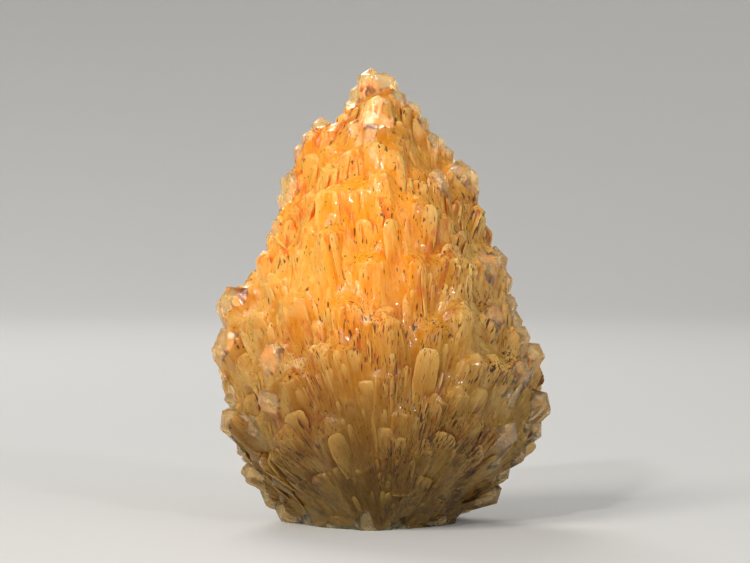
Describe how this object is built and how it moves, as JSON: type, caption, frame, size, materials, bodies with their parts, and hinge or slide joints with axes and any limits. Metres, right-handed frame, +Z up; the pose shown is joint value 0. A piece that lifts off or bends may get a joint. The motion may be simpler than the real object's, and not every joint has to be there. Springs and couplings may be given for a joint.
{
  "type": "calcite specimen",
  "caption": "Upright spire of intergrown honey-coloured calcite crystals fanning up and outwards from a flat cut base, for display on a shelf.",
  "frame": {"origin": "centre of the bounding box's base, on the flat cut face", "axes": "+Z up the spire, +X to the right seen from the front, -Y towards the front; the base faces -Z"},
  "size_m": [0.0592, 0.0454, 0.0795],
  "materials": {
    "calcite": "glossy crystal, cloudy honey-orange inside and clearer at the tips"
  },
  "bodies": {
    "root": {"calcite_cluster": "calcite"}
  },
  "joints": []
}
